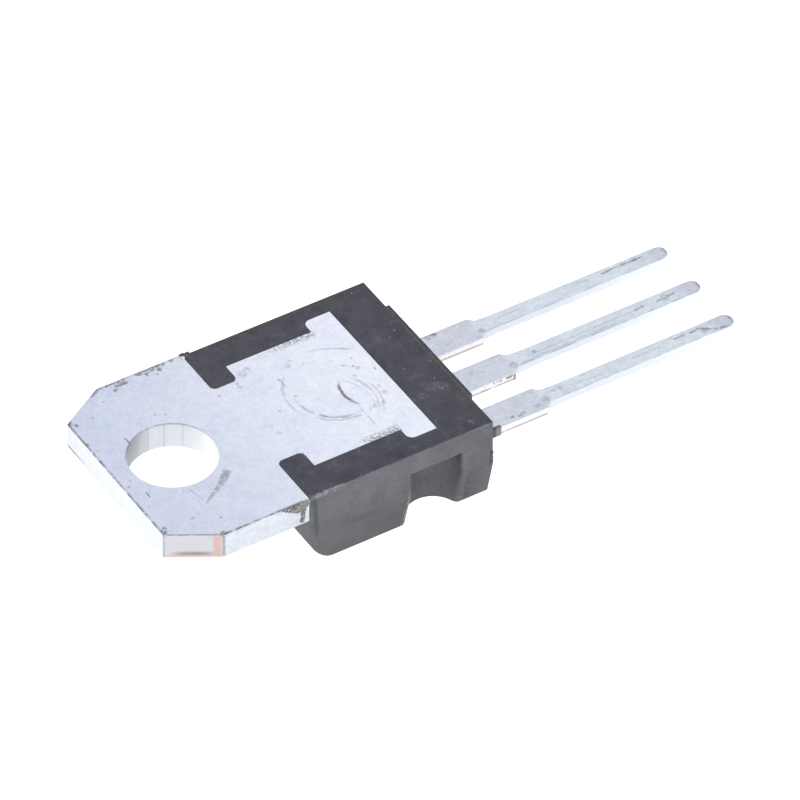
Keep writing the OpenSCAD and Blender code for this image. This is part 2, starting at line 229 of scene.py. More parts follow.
def wear(item, material):
    """Gives the item this one material in every slot."""
    if not item.material_slots:
        item.data.materials.append(material)
    for slot in item.material_slots:
        slot.link = "OBJECT"
        slot.material = material


# ---- Shader maths ----


# Sockets of a Mix node that mixes colours: its factor and two colours, and its result
COLOUR_MIX_INPUTS = (0, 6, 7)
COLOUR_MIX_OUTPUT = 2


class Tone:
    """What a shader socket gives. Maths on it lays down Math nodes."""

    def __init__(self, finish, node, output=0):
        self.finish = finish
        self.node = node
        self.socket = node.outputs[output]

    def output(self, name):
        return Tone(self.finish, self.node, name)

    def math(self, operation, *values):
        return self.finish.node("ShaderNodeMath", {"operation": operation}, *values)

    def __add__(self, other):
        return self.math("ADD", self, other)

    __radd__ = __add__

    def __sub__(self, other):
        return self.math("SUBTRACT", self, other)

    def __rsub__(self, other):
        return self.math("SUBTRACT", other, self)

    def __mul__(self, other):
        return self.math("MULTIPLY", self, other)

    __rmul__ = __mul__

    def __abs__(self):
        return self.math("ABSOLUTE", self)

    def lower(self, other):
        return self.math("MINIMUM", self, other)

    def higher(self, other):
        return self.math("MAXIMUM", self, other)

    def diagonal(self, other):
        """How long the two lengths are together when they stand at a right angle."""
        return self.math("SQRT", self * self + other * other)

    def step(self, start, end):
        """Rises smoothly from 0 at start to 1 at end. With end below start it falls."""
        return self.finish.node(
            "ShaderNodeMapRange",
            {"interpolation_type": "SMOOTHSTEP"},
            **{"Value": self, "From Min": start, "From Max": end},
        )

    def between(self, low, high, soft=0.03):
        """1 between low and high, fading to 0 over soft at each end."""
        return self.step(low - soft, low) * self.step(high + soft, high)


class Finish:
    """One procedural material on a Principled shader, patterned in millimetres over the solid."""

    def __init__(self, name, **constants):
        self.material = bpy.data.materials.new(name)
        self.material.use_nodes = True
        self.tree = self.material.node_tree
        self.tree.nodes.clear()
        self.shader = self.tree.nodes.new("ShaderNodeBsdfPrincipled")
        output = self.tree.nodes.new("ShaderNodeOutputMaterial")
        self.tree.links.new(self.shader.outputs[0], output.inputs[0])
        for socket, value in constants.items():
            self.shader.inputs[socket.replace("_", " ")].default_value = value
        coordinates = self.node("ShaderNodeTexCoord")
        self.place = self.node(
            "ShaderNodeMapping", Vector=coordinates.output("Object"), Scale=(MM_PER_M,) * 3,
        )
        self.x, self.y, self.z = self.split(self.place)
        # Masks by the way a face looks: up or down, to the near side, and past the tab's free end
        looks_x, looks_y, looks_z = self.split(coordinates.output("Normal"))
        self.flat = abs(looks_z).step(0.5, 0.85)
        self.near = looks_y.step(-0.3, -0.85)
        self.tab_end = looks_x.step(-0.5, -0.85)
        # Places seen from above, shaken a little so that marks have ragged outlines
        shake = self.noise(5.0, 3.0, 0.6).output("Color")
        shaken = self.vector("MULTIPLY_ADD", shake, (2 * RAGGED, 2 * RAGGED, 0.0), self.place)
        self.ragged = self.vector("MULTIPLY_ADD", shaken, (1.0, 1.0, 0.0), (-RAGGED, -RAGGED, 0.0))

    def node(self, kind, settings=None, *values, **sockets):
        """Adds a node with its settings and its sockets' values, and gives its first output."""
        node = self.tree.nodes.new(kind)
        for key, value in (settings or {}).items():
            setattr(node, key, value)
        for key, value in [*enumerate(values), *sockets.items()]:
            self.supply(node.inputs[key], value)
        return Tone(self, node)

    def supply(self, socket, value):
        """Links the socket to a Tone, or sets it to a value. A colour comes without its fourth number."""
        if isinstance(value, Tone):
            self.tree.links.new(value.socket, socket)
        elif socket.type == "RGBA":
            socket.default_value = (*value, 1.0)
        else:
            socket.default_value = value

    def split(self, place):
        """The place's X, Y and Z."""
        parts = self.node("ShaderNodeSeparateXYZ", None, place)
        return [parts.output(axis) for axis in "XYZ"]

    def vector(self, operation, *values):
        return self.node("ShaderNodeVectorMath", {"operation": operation}, *values)

    def turned(self, place, centre, angle):
        """The place seen from centre, with the X axis turned by angle."""
        return self.node(
            "ShaderNodeMapping", {"vector_type": "TEXTURE"},
            Vector=place, Location=(*centre, 0.0), Rotation=(0.0, 0.0, angle),
        )

    def noise(self, scale, detail=3.0, roughness=0.5, stretch=None, shift=(0, 0, 0)):
        """Noise of so many cells per millimetre, from 0 to 1."""
        place = self.place
        if stretch or any(shift):
            place = self.node("ShaderNodeMapping", Vector=place, Scale=stretch or (1, 1, 1), Location=shift)
        return self.node(
            "ShaderNodeTexNoise", None,
            Vector=place, Scale=scale, Detail=detail, Roughness=roughness,
        )

    def mix(self, share, first, second, blend="MIX"):
        """Colour first where share is 0 and second where it is 1."""
        mixer = self.node("ShaderNodeMix", {"data_type": "RGBA", "blend_type": blend})
        for index, value in zip(COLOUR_MIX_INPUTS, (share, first, second)):
            self.supply(mixer.node.inputs[index], value)
        return mixer.output(COLOUR_MIX_OUTPUT)

    def tint(self, share, colour, filter_colour):
        """The colour seen through a filter where share is 1."""
        return self.mix(share, colour, filter_colour, "MULTIPLY")

    def bump(self, height, distance, strength=1.0):
        return self.node("ShaderNodeBump", None, Height=height, Distance=distance, Strength=strength)

    def feed(self, **sockets):
        """Feeds what varies over the surface to the shader's sockets."""
        for name, value in sockets.items():
            self.tree.links.new(value.socket, self.shader.inputs[name.replace("_", " ")])

    # Marks seen from above: each is 1 at its middle and fades out

    def spot(self, x, y, radius):
        """A round mark."""
        away = self.vector("DISTANCE", self.ragged, (x, y, 0.0)).output("Value")
        return away.step(radius, 0.4 * radius)

    def together(self, marks):
        """All these marks over one another, nowhere above 1."""
        total = 0.0
        for mark in marks:
            total = mark + total
        return total.lower(1.0)

    def spots(self, places, radius=None):
        """All these spots together. A place has its own radius third, or they share one."""
        return self.together(self.spot(*place[:2], radius or place[2]) for place in places)

    def scratch(self, start, end, width):
        """A straight mark with round ends, so many millimetres wide to each side."""
        start, end = Vector(start), Vector(end)
        run = end - start
        local = self.turned(self.ragged, (start + end) / 2, math.atan2(run.y, run.x))
        along, across, _ = self.split(local)
        beyond = (abs(along) - run.length / 2).higher(0.0)
        return beyond.diagonal(across).step(width, 0.3 * width)

    def scratches(self, lines, width):
        """All these scratches together."""
        return self.together(self.scratch(start, end, width) for start, end in lines)

    def trail(self, points):
        """A smear through points that each have their own half width third."""
        pairs = zip(points, points[1:])
        return self.together(self.scratch(start[:2], end[:2], start[2]) for start, end in pairs)

    def arc(self, centre, radius, width, middle, reach):
        """Part of a ring, on both sides of the direction middle as far as reach, in degrees."""
        along, across, _ = self.split(self.turned(self.ragged, centre, math.radians(middle)))
        ring = abs(along.diagonal(across) - radius).step(width, 0.3 * width)
        turn = abs(across.math("ARCTAN2", across, along))
        return ring * turn.step(math.radians(reach), math.radians(0.5 * reach))


# ---- Metal finishes ----


# Flecks in the tin, and marks and a painted shade line on the header's back face
LIGHT_FLECK = (0.95, 0.96, 0.98)
RIM_SHADE_GREY = (0.14, 0.14, 0.14)
SMEAR_GREY = (0.12, 0.12, 0.11)
TRAIL_GREY = (0.19, 0.185, 0.24)
SMUDGE_GREY = (0.2, 0.2, 0.23)
SPECK_GREY = (0.16, 0.16, 0.19)
SCRATCH_GREY = (0.13, 0.13, 0.15)
RING_GREY = (0.2, 0.21, 0.24)
CRESCENT_GREY = (0.17, 0.18, 0.21)
BLEED_GREY = (0.16, 0.17, 0.17)

# The sheared faces of the tab
CUT_FACE = (0.49, 0.485, 0.50)
FOOT_SHADE_BAND = (0.16, 0.155, 0.16)
COPPER_FOOT = (0.60, 0.39, 0.36)
COPPER_STRIPE = (0.535, 0.38, 0.35)
CUT_OUTLINE = (0.16, 0.16, 0.15)
FOOT_LINE = (0.1, 0.095, 0.085)

# The leads: painted light on their sides from shoulder to tip and on the sides of their roots, and wear
SIDE_LIGHT_AT_SHOULDER, SIDE_LIGHT_AT_TIP = (0.59, 0.62, 0.675), (0.69, 0.74, 0.78)
ROOT_SIDE_LIGHT = (0.76, 0.75, 0.79)
DULL_COPPER = (0.50, 0.43, 0.39)
BURR_SPECK = (0.2, 0.14, 0.11)
ROOT_DASH = (0.16, 0.13, 0.11)
RIM_LINE = (0.25, 0.26, 0.3)
FINE_LINE = (0.2, 0.2, 0.24)
DEEP_LINE = (0.16, 0.16, 0.2)

# The hole's wall, painted light and shade by the way it faces: painted light on the far side and more by the
# leads, with a band, then two greys of painted shade
WALL_PAINTED_LIGHT = (0.58, 0.60, 0.64), (0.80, 0.82, 0.81)
WALL_BAND = (0.60, 0.61, 0.64)
WALL_PAINTED_SHADE = (0.50, 0.51, 0.55), (0.38, 0.39, 0.43)


def tin_skin(finish, metal, share):
    """Satin tin plate, darker with painted shade where share is 0 and brighter with painted light where it is
    1, with its clouds, grit and flecks.
    """
    colour = finish.mix(share, metal.tin_in_painted_shade, metal.tin_in_painted_light)
    cool = finish.noise(0.8, 3.0, 0.6).step(0.42, 0.62)
    colour = finish.tint(cool, colour, (0.95, 0.98, 0.98))
    rosy = finish.noise(0.7, 3.0, 0.6, shift=(7, 3, 0)).step(0.46, 0.66)
    colour = finish.tint(rosy, colour, (0.965, 0.95, 0.985))
    # The sides take their own sheared tin, set pale as painted light on them
    colour = finish.mix(finish.flat, metal.sheared_side_tin_and_light, colour)
    mottle = finish.noise(3.0, 5.0, 0.7)
    grit = finish.noise(11.0, 5.0, 0.75)
    grime = mottle.step(0.38, 0.68) * 0.4 + grit.step(0.42, 0.62) * 0.6
    colour = finish.tint(grime, colour, (0.82, 0.835, 0.86))
    dark = finish.noise(7.0, 3.0, 0.6, shift=(2, 5, 1)).step(0.66, 0.74) * finish.flat
    colour = finish.tint(dark, colour, (0.76, 0.79, 0.8))
    light = finish.noise(8.0, 3.0, 0.6, shift=(9, 1, 3)).step(0.66, 0.74) * finish.flat
    colour = finish.mix(light * 0.6, colour, LIGHT_FLECK)
    finish.feed(
        Roughness=0.32 + mottle * 0.14 + grit * 0.08,
        Normal=finish.bump(mottle * 0.4 + grit * 0.6, 0.02 * MM, 0.4),
    )
    return colour


def plate_edges(finish):
    """How far a place is outside the plate's ends and sides, and outside its cut corners, in mm."""
    across = abs(finish.y)
    straight = (across - HALF_WIDTH).higher(FREE_END - finish.x)
    slope = math.atan2(CORNER_W, CORNER_L)
    cut = (across - (HALF_WIDTH - CORNER_W)) * math.cos(slope) - (finish.x - FREE_END) * math.sin(slope)
    return straight, cut


def wear_and_shade_back_face(finish, colour):
    """The handling marks on the header's back face, and a painted shade line along its edges and the hole's
    far rim.
    """
    back = finish.z.step(-0.08, -0.03)
    straight, cut = plate_edges(finish)
    # Painted shade: a broken dark line where the back face rolls over along the tab's sides and free end,
    # fainter on the cut corners, and on the hole's far rim
    broken = finish.noise(2.5, 5.0, 0.7, shift=(0, 9, 0)).step(0.36, 0.56)
    rim_shade_line = straight.step(-0.12, -0.02) * broken * finish.x.step(TAB_END, TAB_END - 0.3)
    rim_shade_line = rim_shade_line.higher(cut.step(-0.08, -0.02) * broken * 0.5)
    hole = finish.x.diagonal(finish.y) - HOLE_R
    rim_shade_line = rim_shade_line.higher(hole.step(0.09, 0.03) * finish.y.step(0.3, 1.2) * broken * 0.7)
    colour = finish.mix(rim_shade_line * back * 0.8, colour, RIM_SHADE_GREY)
    patchy = finish.noise(7.0, 5.0, 0.75, shift=(4, 0, 0)).step(0.38, 0.56)
    smears = finish.scratches(EDGE_SMEARS, 0.17) + finish.spots(EDGE_SMUDGES)
    colour = finish.mix(smears.lower(1.0) * patchy * back * 0.8, colour, SMEAR_GREY)
    blotchy = finish.noise(4.5, 4.0, 0.75, shift=(4, 4, 0)).step(0.32, 0.56)
    colour = finish.mix(finish.trail(SMUDGE_TRAIL) * blotchy * back * 0.68, colour, TRAIL_GREY)
    colour = finish.mix(finish.spots(FAINT_SPOTS) * patchy * back * 0.4, colour, SMUDGE_GREY)
    colour = finish.mix(finish.spots(TAB_SPECKS, 0.06) * back * 0.65, colour, SPECK_GREY)
    colour = finish.mix(finish.scratches(TAB_SCRATCHES, 0.05) * back * 0.75, colour, SCRATCH_GREY)
    lines = 0.0
    for *place, strength in PAD_RINGS:
        lines = finish.arc(*place) * strength + lines
    lines = lines + finish.scratches(PAD_SCRATCHES, 0.055) * 0.35
    strands = finish.noise(3.5, 5.0, 0.75, shift=(1, 1, 1)).step(0.36, 0.56)
    colour = finish.mix((lines * strands).lower(1.0) * back, colour, RING_GREY)
    crescent = finish.arc(*PAD_CRESCENT) * (0.6 + strands * 0.4)
    colour = finish.mix(crescent * back, colour, CRESCENT_GREY)
    return finish.mix(resin_bleed(finish) * back * 0.8, colour, BLEED_GREY)


def resin_bleed(finish):
    """Speckled films of resin that crept onto the pad along its two sides."""
    across = abs(finish.y)
    strip = across.step(3.02, 3.42) * across.step(3.62, 3.5)
    far = finish.y.step(-0.5, 0.5) * finish.x.step(4.6, 8.0)
    near = finish.y.step(0.5, -0.5) * finish.x.step(6.2, 7.6)
    reach = (far + near) * finish.x.step(9.0, 8.8)
    grit = finish.noise(8.0, 5.0, 0.75, shift=(3, 3, 0))
    return strip * (grit + reach * 0.14).step(0.58, 0.68) * reach


def expose_copper(finish, colour):
    """Bare copper, and a dark band of painted shade above it, on the near cut corner's face."""
    _, cut = plate_edges(finish)
    face = cut.step(-0.06, -0.02) * finish.y.step(-3.0, -3.4)
    colour = finish.mix(face * 0.8, colour, CUT_FACE)
    patches = finish.noise(4.0, 3.0, 0.6).step(0.2, 0.45)
    # Painted shade: a dark grey band just above the copper foot
    shear = finish.z.between(-1.08, -1.04, 0.18) * finish.x.between(-1.95, -1.45, 0.75)
    colour = finish.mix(shear * face * 0.75, colour, FOOT_SHADE_BAND)
    foot = finish.z.step(-1.08, -1.15) * finish.x.between(-2.45, -0.8, 0.15)
    colour = finish.mix(foot * patches * face * 0.8, colour, COPPER_FOOT)
    stripe = finish.x.between(-0.99, -0.75, 0.03) * finish.z.between(-1.15, -0.12, 0.04)
    colour = finish.mix(stripe * face, colour, COPPER_STRIPE)
    # Grey outline with round corners just inside the face's four edges
    corner = 0.2
    out_x = (abs(finish.x - (FREE_END + CORNER_L / 2)) - (CORNER_L / 2 - corner)).higher(0.0)
    out_z = (abs(finish.z - PLATE_LOW.z / 2) - (-PLATE_LOW.z / 2 - corner)).higher(0.0)
    outline = out_x.diagonal(out_z).step(0.13, 0.19)
    ragged = finish.noise(5.0, 4.0, 0.7, shift=(6, 2, 0)).step(0.35, 0.55)
    return finish.mix(outline * ragged * face * 0.6, colour, CUT_OUTLINE)


def shade_and_wear_sheared_sides(finish, colour):
    """Greyer near side of the tab from painted shade, and the line under its free end."""
    tab = finish.x.step(TAB_END + 0.5, TAB_END + 0.3)
    # Painted shade: the tab's near-facing side is toned greyer
    colour = finish.tint(finish.near * tab, colour, (0.88, 0.885, 0.86))
    smears = finish.noise(1.6, 4.0, 0.6, stretch=(0.6, 1.0, 2.0), shift=(0, 0, 5)).step(0.45, 0.65)
    colour = finish.tint(smears * finish.near * tab, colour, (0.88, 0.90, 0.91))
    foot = finish.z.step(-1.08, -1.14) * finish.x.step(-2.66, -2.7) * finish.y.step(1.8, 3.7)
    torn = finish.noise(4.0, 4.0, 0.7, shift=(0, 6, 0)).step(0.3, 0.5)
    return finish.mix(foot * torn * 0.85, colour, FOOT_LINE)


def lead_wear_and_painted_light(finish, colour, centre, scratches, lines, smudges):
    """Wear on one lead, with painted light on its sides and painted shade at its tip, from where it leaves
    the moulding to its tip.
    """
    out = finish.x.step(LEAD_END - 0.1, LEAD_END + 0.1)
    top = finish.z.step(LEAD_HIGH.z - 0.08, LEAD_HIGH.z - 0.03) * out
    root = finish.x.step(SHOULDER + 0.02, SHOULDER - 0.02) * out
    colour = finish.tint(top, colour, (0.97, 1.0, 0.95))
    colour = finish.tint(root * top, colour, (0.93, 0.89, 0.92))
    grain = finish.noise(6.0, 4.0, 0.7, stretch=(0.6, 1.8, 1.0))
    colour = finish.tint(grain.step(0.38, 0.66) * top, colour, (0.90, 0.905, 0.92))
    # Painted light: the sides take pale tones, rising towards the tip and palest on the roots between the
    # leads, with copper showing low on the roots
    side = (1.0 - finish.flat) * out
    painted_light_tone = finish.mix(finish.x.step(19.5, 26.0), SIDE_LIGHT_AT_SHOULDER, SIDE_LIGHT_AT_TIP)
    colour = finish.mix(side * 0.85, colour, finish.mix(root, painted_light_tone, ROOT_SIDE_LIGHT))
    root_side = finish.near * root * (1.0 - top)
    shear = finish.z.between(LEAD_LOW.z + 0.04, LEAD_LOW.z + 0.13, 0.05)
    bare = finish.noise(3.0, 5.0, 0.75, stretch=(0.8, 1, 1), shift=(0, 0, 4)).step(0.3, 0.5)
    colour = finish.mix(shear * bare * root_side * finish.x.step(13.7, 14.2), colour, DULL_COPPER)
    burr = finish.z.step(LEAD_HIGH.z - 0.1, LEAD_HIGH.z - 0.04) * root_side + shear * bare * root_side * 0.5
    specks = finish.noise(9.0, 3.0, 0.6, shift=(3, 0, 2)).step(0.5, 0.6)
    colour = finish.mix(burr * specks * 0.5, colour, BURR_SPECK)
    is_middle = centre == 0.0
    if is_middle:
        dashes = finish.noise(4.0, 2.0, 0.5, stretch=(2.0, 0.2, 0.4)).step(0.48, 0.56)
        dashes = dashes * finish.z.between(-2.76, -2.6, 0.03) * finish.x.between(14.8, 16.2, 0.1)
        dashes = dashes.higher(finish.x.step(SHOULDER - 0.14, SHOULDER - 0.08))
        colour = finish.mix(dashes * root_side * 0.8, colour, ROOT_DASH)
    # A broken dark line along the slim stretch's near edge
    rim = (finish.y - centre).between(-SLIM_HALF, -SLIM_HALF + 0.03, 0.03)
    broken = finish.noise(2.0, 5.0, 0.75, stretch=(0.8, 1, 1), shift=(5, 0, 0)).step(0.42, 0.58)
    rim = rim * top * broken * finish.x.step(SHOULDER, 17.0)
    colour = finish.mix(rim * (0.5 if is_middle else 0.3), colour, RIM_LINE)
    # Painted shade: the tips darken over their last stretch, and more at the very end
    tip_shade = finish.x.step(TIPS - 1.6, TIPS - 0.4)
    colour = finish.tint(tip_shade * top, colour, (0.85, 0.82, 0.86))
    colour = finish.tint(finish.x.step(TIPS - 0.22, TIPS - 0.1) * top, colour, (0.7, 0.7, 0.72))
    patchy = finish.noise(8.0, 5.0, 0.75, stretch=(0.5, 1, 1), shift=(4, 0, 0)).step(0.38, 0.56)
    colour = finish.mix(finish.spots(smudges) * patchy * top * 0.5, colour, SMUDGE_GREY)
    fine = finish.scratches(lines, 0.06) * (0.35 + patchy * 0.65) * top
    colour = finish.mix(fine * 0.34, colour, FINE_LINE)
    deep = finish.scratches(scratches, 0.08) * (0.25 + patchy * 0.75) * top
    return finish.mix(deep * 0.72, colour, DEEP_LINE)


def hole_wall(finish, colour):
    """Punched wall of the mounting hole: painted shade round its free-end side, painted light and streaks
    beyond.
    """
    radius = finish.x.diagonal(finish.y)
    wall = radius.step(HOLE_R + 0.3, HOLE_R + 0.1) * (1.0 - finish.flat)
    # Radians round the hole, from the leads' side over the far side to the free end
    turn = finish.x.math("ARCTAN2", finish.y, finish.x)
    # Painted light and shade, set by the way the wall faces round the hole
    painted_light_tone = finish.mix(turn.step(0.8, -0.1), *WALL_PAINTED_LIGHT)
    painted_light_tone = finish.mix(turn.between(1.35, 1.55, 0.12), painted_light_tone, WALL_BAND)
    painted_shade_tone = finish.mix(turn.step(1.7, 2.4), *WALL_PAINTED_SHADE)
    colour = finish.mix(wall, colour, finish.mix(turn.step(1.5, 2.0), painted_light_tone, painted_shade_tone))
    around = finish.node("ShaderNodeCombineXYZ", None, turn, 0.0, 0.0)
    streaks = finish.node("ShaderNodeTexNoise", None, Vector=around, Scale=7.0, Detail=2.0, Roughness=0.7)
    streaked = streaks.step(0.48, 0.64) * turn.between(0.9, 1.75, 0.3) * wall
    return finish.tint(streaked, colour, (0.84, 0.84, 0.84))


def tinned_plate_finish(metal):
    """The header's worn tin plate, brighter towards the pad with painted light."""
    finish = Finish("worn_tin_plate", Metallic=1.0)
    # Painted light: share grows from the free end to the pad, then falls to the leads' 0.45 on the anode lead
    # outside the moulding
    share = finish.x.step(FREE_END, 10.0) - finish.x.step(LEAD_END - 0.5, LEAD_END) * 0.55
    colour = tin_skin(finish, metal, share)
    colour = wear_and_shade_back_face(finish, colour)
    colour = shade_and_wear_sheared_sides(finish, colour)
    colour = expose_copper(finish, colour)
    colour = hole_wall(finish, colour)
    colour = lead_wear_and_painted_light(finish, colour, 0.0, ANODE_SCRATCHES, ANODE_LINES, ANODE_SMUDGES)
    finish.feed(Base_Color=colour)
    return finish.material


def tinned_lead_finish(name, metal, centre, *marks):
    """The tin plate of one outer lead."""
    finish = Finish(name, Metallic=1.0)
    colour = lead_wear_and_painted_light(finish, tin_skin(finish, metal, 0.45), centre, *marks)
    finish.feed(Base_Color=colour)
    return finish.material


def plain_metal_finish(name, metal_colour, roughness):
    """Grained metal for the pieces inside the moulding."""
    finish = Finish(name, Metallic=1.0)
    grain = finish.noise(12.0, 4.0, 0.6)
    finish.feed(
        Base_Color=finish.mix(grain, metal_colour, [0.7 * part for part in metal_colour]),
        Roughness=roughness + grain * 0.15,
        Normal=finish.bump(grain, 0.01 * MM, 0.3),
    )
    return finish.material


# ---- Resin finishes ----


# Marks on the moulding, with painted light and shade
NEAR_SIDE_LIGHT = (0.11, 0.112, 0.122)
PALE_BLOT = (0.2, 0.2, 0.21)
PALE_FLECK = (0.3, 0.3, 0.3)
PALE_GRAIN = (0.4, 0.4, 0.38)
PALE_SPECK = (0.4, 0.4, 0.37)
BLOCK_SCUFF = (0.13, 0.13, 0.12)
EDGE_HIGHLIGHT = (0.28, 0.28, 0.29)
TAB_CORNER_HIGHLIGHT = (0.09, 0.093, 0.097)
CUT_WEB = (0.14, 0.143, 0.15)
LIP_HIGHLIGHT = (0.3, 0.29, 0.29)

# Thin resin cut off at the mould's edge, and its blotches
CUT_RESIN, CUT_RESIN_BLOTCH = (0.07, 0.07, 0.072), (0.045, 0.045, 0.046)


def resin_finish(resin):
    """Matt moulding compound: slate, cloudy and pitted, olive along the back's far and lead-end edges."""
    finish = Finish("moulding_resin", IOR=1.5, Specular_IOR_Level=0.3)
    back = finish.z.step(-0.05, -0.01)
    grain = finish.noise(12.0, 5.0, 0.75)
    clouds = finish.noise(0.7, 4.0, 0.6)
    # Painted shade: the sides darken towards the front, where the draft turns them downwards
    side = finish.tint(finish.z.step(-1.0, -3.8), resin.side_colour, (0.76, 0.76, 0.73))
    # Painted light: a paler patch high on the near side
    near_side_painted_light = finish.near * finish.x.between(5.4, 8.4, 1.6) * finish.z.step(-1.8, -0.8)
    side = finish.mix(near_side_painted_light * 0.3, side, NEAR_SIDE_LIGHT)
    colour = finish.mix(back, side, resin.back_colour)
    inside = (RESIN_HIGH.y - finish.y).lower(LEAD_END + 0.1 - finish.x)
    olive = (inside + clouds * 1.2).step(1.3, 0.7)
    colour = finish.mix(olive * back * 0.6, colour, resin.edge_colour)
    colour = finish.tint(clouds.step(0.45, 0.62), colour, (0.84, 0.84, 0.86))
    blots = finish.noise(1.4, 5.0, 0.7, shift=(0, 3, 0))
    colour = finish.tint(blots.step(0.52, 0.62) * back, colour, (0.76, 0.76, 0.79))
    colour = finish.mix(blots.step(0.44, 0.36) * back * 0.13, colour, PALE_BLOT)
    colour = finish.tint(grain.step(0.35, 0.65), colour, (0.78, 0.78, 0.78))
    flecks = finish.noise(6.0, 4.0, 0.7, shift=(1, 0, 2)).step(0.64, 0.74)
    colour = finish.mix(flecks * 0.12, colour, PALE_FLECK)
    specks = finish.noise(7.0, 2.0, 0.5, shift=(8, 0, 2)).step(0.76, 0.79)
    colour = finish.mix(specks * 0.55, colour, PALE_GRAIN)
    pits = finish.noise(6.0, 3.0, 0.6, shift=(5, 0, 2)).step(0.70, 0.78)
    colour = finish.tint(pits, colour, (0.55, 0.55, 0.55))
    colour = shade_notches(finish, scuff_and_shade_edges(finish, colour, back))
    finish.feed(
        Base_Color=colour,
        Roughness=0.5 + grain * 0.2,
        Normal=finish.bump(grain * 0.7 + clouds * 0.3, 0.03 * MM, 0.5),
    )
    return finish.material


def scuff_and_shade_edges(finish, colour, back):
    """Light scuffs along the block, a painted highlight along the near back edge, painted light and shade at
    the tab-end corner, and the cut webs.
    """
    rough = finish.noise(6.0, 5.0, 0.75, shift=(2, 2, 2)).step(0.42, 0.60)
    block = abs(finish.y).step(3.3, 3.2) * finish.x.between(LEAD_END - 0.08, LEAD_END, 0.04) * back
    colour = finish.mix(block * rough * 0.35, colour, BLOCK_SCUFF)
    # Painted highlight: a pale, broken line just under the near back edge
    edge_highlight = finish.z.between(-0.2, -0.02, 0.07) * finish.near * finish.x.step(5.3, 4.9)
    edge_highlight = edge_highlight.higher(finish.z.between(-0.1, -0.02, 0.05) * finish.near * finish.x.step(10.6, 12.2) * 0.7)
    colour = finish.mix(edge_highlight * rough * 0.45, colour, EDGE_HIGHLIGHT)
    strip = finish.y.step(-4.2, -4.5) * back * finish.x.step(4.5, 5.5)
    colour = finish.tint(strip, colour, (0.88, 0.88, 0.88))
    colour = finish.mix(finish.spots(RESIN_RUBS) * rough * back * 0.3, colour, PALE_BLOT)
    colour = finish.mix(finish.spots(RESIN_SPECKS, 0.045) * back * 0.55, colour, PALE_SPECK)
    # The corner leans a little towards the lead end on its way down. Painted light and shade: a highlight on
    # the corner's rounding, a band of shade beside it, and shade over the tab-end face
    corner = finish.x + finish.z * 0.05 - TAB_END
    colour = finish.mix(corner.between(-0.02, 0.08, 0.04) * finish.near * 0.5, colour, TAB_CORNER_HIGHLIGHT)
    colour = finish.tint(corner.between(0.19, 0.32, 0.08) * finish.near, colour, (0.62, 0.63, 0.63))
    colour = finish.tint(finish.tab_end, colour, (0.86, 0.88, 0.86))
    web_end = finish.x.step(RESIN_HIGH.x - 0.32, RESIN_HIGH.x - 0.2)
    return finish.mix(web_end * 0.9, colour, CUT_WEB)


def shade_notches(finish, colour):
    """Painted highlight on the lips and streaked walls of the two side notches, with painted shade high on
    the walls' lead-end side.
    """
    folded = finish.node("ShaderNodeCombineXYZ", None, finish.x, abs(finish.y), 0.0)
    away = finish.vector("DISTANCE", folded, (NOTCH_X, NOTCH_Y, 0.0)).output("Value")
    wall = away.step(NOTCH_R + 0.02, NOTCH_R + 0.005) * finish.z.step(-1.0, -1.1)
    colour = finish.tint(wall, colour, (1.0, 0.96, 1.0))
    streaks = finish.noise(6.0, 5.0, 0.75, stretch=(1.0, 1.0, 0.7), shift=(1, 2, 2))
    colour = finish.tint(wall * streaks.step(0.45, 0.65), colour, (0.93, 0.93, 0.93))
    # Painted highlight: a pale band on each lip, mostly on the near notch
    lip = away.between(NOTCH_R - 0.02, NOTCH_R + 0.2, 0.06) * finish.z.step(-1.05, -1.3)
    lip_light_reach = finish.x.step(NOTCH_X - 0.2, NOTCH_X - 0.8) * finish.z.step(-1.2, -3.0)
    lip_light_reach = lip_light_reach * finish.y.step(1.0, -1.0) + finish.x.step(NOTCH_X + 0.6, NOTCH_X + 1.1) * 0.12
    colour = finish.mix(lip * lip_light_reach * streaks.step(0.42, 0.58) * 0.38, colour, LIP_HIGHLIGHT)
    # Painted shade: the wall darkens on its lead-end side, high up towards the notch's ceiling
    deep = wall * finish.x.step(NOTCH_X + 0.55, NOTCH_X + 0.95) * finish.z.step(-1.9, -1.2)
    return finish.tint(deep, colour, (0.68, 0.68, 0.69))


def flash_finish(name, colour, blotch):
    """Thin resin in one colour with blotches of another."""
    finish = Finish(name, IOR=1.5, Specular_IOR_Level=0.3, Roughness=0.7)
    grain = finish.noise(9.0, 4.0, 0.7)
    finish.feed(
        Base_Color=finish.mix(grain.step(0.38, 0.62), colour, blotch),
        Normal=finish.bump(grain, 0.03 * MM, 0.6),
    )
    return finish.material


# ---- Sizes and colours ----


def colour_property(name, description, default):
    return bpy.props.FloatVectorProperty(
        name=name, description=description, subtype="COLOR", size=3, min=0.0, max=1.0, default=default,
    )


def length_property(name, description, default):
    return bpy.props.FloatProperty(
        name=name, description=description, unit="LENGTH", subtype="DISTANCE", min=0.0, default=default * MM,
    )


def angle_property(name, description, degrees):
    return bpy.props.FloatProperty(
        name=name, description=description, subtype="ANGLE", default=math.radians(degrees),
    )


class ThyristorMetal(bpy.types.PropertyGroup):
    """The tinned copper of the header and the leads"""

    # These two tin tones are painted shade at the tab's free end and painted light at the pad
    tin_in_painted_shade: colour_property("Dull tin", "Tin plate at the tab's free end", (0.63, 0.66, 0.77))
    tin_in_painted_light: colour_property("Bright tin", "Tin plate at the pad", (0.81, 0.83, 0.90))
    # The stamped sides' tone is partly painted light
    sheared_side_tin_and_light: colour_property("Sheared tin", "Tin on the stamped sides", (0.70, 0.73, 0.80))
    edge_round: length_property("Edge rounding", "How far the stamped edges are rounded off", 0.04)


